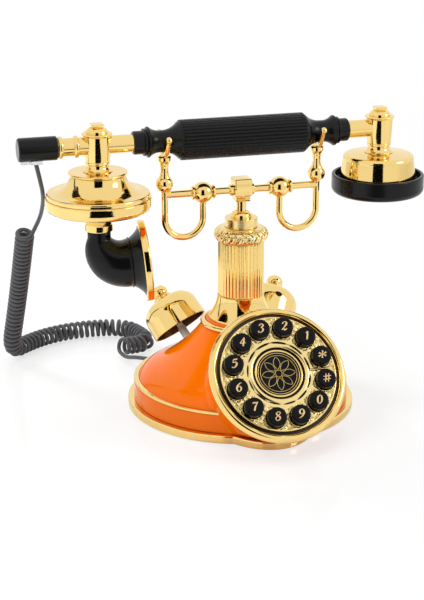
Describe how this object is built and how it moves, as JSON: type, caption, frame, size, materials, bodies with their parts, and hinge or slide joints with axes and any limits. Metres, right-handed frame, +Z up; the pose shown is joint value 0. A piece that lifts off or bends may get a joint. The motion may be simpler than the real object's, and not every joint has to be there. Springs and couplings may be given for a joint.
{
  "type": "cradle telephone",
  "caption": "French-style desk telephone: round orange and gold base with push-button dial, fluted column, sprung cradle and gold handset with a horn mouthpiece on a curly cord.",
  "frame": {"origin": "under the column's axis on the surface the phone stands on", "axes": "+Z up along the column, -Y towards the dial's side (front), +X along the handset towards the ear cup"},
  "size_m": [0.2684, 0.2629, 0.1946],
  "materials": {
    "brass": "polished gold plate",
    "orange_shell": "high gloss moulding",
    "black_plastic": "gloss moulding",
    "rubber": "matt",
    "steel": "bright turned",
    "board": "coated laminate",
    "black_parts": "moulded",
    "capsule": "drawn sheet",
    "cord": "satin sheath",
    "clear": "clear moulding"
  },
  "bodies": {
    "base": {"base_rim": "brass", "base_shell": "orange_shell", "base_bead": "brass", "bottom_cover": "black_plastic", "foot_ring": "rubber", "base_screws": "steel", "ballast_plate": "steel", "main_board": "board", "hook_switch": "black_parts", "ringer": "black_parts", "modular_jacks": "black_parts", "column_foot": "brass", "column": "brass", "column_collar": "brass", "stem_guide": "brass", "plunger_spring": "steel", "bells": "brass", "bell_posts": "steel", "bell_nuts": "brass", "dial_bezel": "brass", "dial_plate": "brass", "dial_centre": "black_plastic", "key_mat": "rubber", "key_board": "board", "cord_lead_top": "cord", "cord_coil": "cord", "cord_lead_base": "cord", "cord_base_plug": "clear"},
    "cradle": {"cradle_stem": "brass", "cradle_block": "brass", "cradle_bar": "brass", "hook_left": "brass", "hook_right": "brass", "cradle_forks": "brass"},
    "handset": {"grip": "black_plastic", "arm_tubes": "brass", "arm_hubs": "brass", "hub_finials": "brass", "cord_cap": "black_plastic", "mic_upper": "brass", "mic_lower": "brass", "mic_capsule": "capsule", "horn": "black_plastic", "horn_rim": "brass", "ear_dome": "brass", "ear_cap": "black_plastic", "receiver": "capsule", "cord_plug": "clear"},
    "key_star_body": {"key_star": "black_plastic"},
    "key_1_body": {"key_1": "black_plastic"},
    "key_2_body": {"key_2": "black_plastic"},
    "key_3_body": {"key_3": "black_plastic"},
    "key_4_body": {"key_4": "black_plastic"},
    "key_5_body": {"key_5": "black_plastic"},
    "key_6_body": {"key_6": "black_plastic"},
    "key_7_body": {"key_7": "black_plastic"},
    "key_8_body": {"key_8": "black_plastic"},
    "key_9_body": {"key_9": "black_plastic"},
    "key_0_body": {"key_0": "black_plastic"},
    "key_hash_body": {"key_hash": "black_plastic"}
  },
  "joints": [
    {"name": "handset_lift", "type": "slide", "parent": "base", "child": "handset", "axis": [0, 0, 1], "range_m": [0, 0.06]},
    {"name": "cradle_rise", "type": "slide", "parent": "base", "child": "cradle", "axis": [0, 0, 1], "range_m": [0, 0.003], "deforming": ["plunger_spring"]},
    {"name": "press_star", "type": "slide", "parent": "base", "child": "key_star_body", "axis": [0, 0.7838, -0.621], "range_m": [0, 0.0015], "stiffness_N_per_m": 400},
    {"name": "press_1", "type": "slide", "parent": "base", "child": "key_1_body", "axis": [0, 0.7838, -0.621], "range_m": [0, 0.0015], "stiffness_N_per_m": 400},
    {"name": "press_2", "type": "slide", "parent": "base", "child": "key_2_body", "axis": [0, 0.7838, -0.621], "range_m": [0, 0.0015], "stiffness_N_per_m": 400},
    {"name": "press_3", "type": "slide", "parent": "base", "child": "key_3_body", "axis": [0, 0.7838, -0.621], "range_m": [0, 0.0015], "stiffness_N_per_m": 400},
    {"name": "press_4", "type": "slide", "parent": "base", "child": "key_4_body", "axis": [0, 0.7838, -0.621], "range_m": [0, 0.0015], "stiffness_N_per_m": 400},
    {"name": "press_5", "type": "slide", "parent": "base", "child": "key_5_body", "axis": [0, 0.7838, -0.621], "range_m": [0, 0.0015], "stiffness_N_per_m": 400},
    {"name": "press_6", "type": "slide", "parent": "base", "child": "key_6_body", "axis": [0, 0.7838, -0.621], "range_m": [0, 0.0015], "stiffness_N_per_m": 400},
    {"name": "press_7", "type": "slide", "parent": "base", "child": "key_7_body", "axis": [0, 0.7838, -0.621], "range_m": [0, 0.0015], "stiffness_N_per_m": 400},
    {"name": "press_8", "type": "slide", "parent": "base", "child": "key_8_body", "axis": [0, 0.7838, -0.621], "range_m": [0, 0.0015], "stiffness_N_per_m": 400},
    {"name": "press_9", "type": "slide", "parent": "base", "child": "key_9_body", "axis": [0, 0.7838, -0.621], "range_m": [0, 0.0015], "stiffness_N_per_m": 400},
    {"name": "press_0", "type": "slide", "parent": "base", "child": "key_0_body", "axis": [0, 0.7838, -0.621], "range_m": [0, 0.0015], "stiffness_N_per_m": 400},
    {"name": "press_hash", "type": "slide", "parent": "base", "child": "key_hash_body", "axis": [0, 0.7838, -0.621], "range_m": [0, 0.0015], "stiffness_N_per_m": 400}
  ],
  "couplings": [
    {"joint": "cradle_rise", "follows": "handset_lift", "ratio": 0.05}
  ]
}
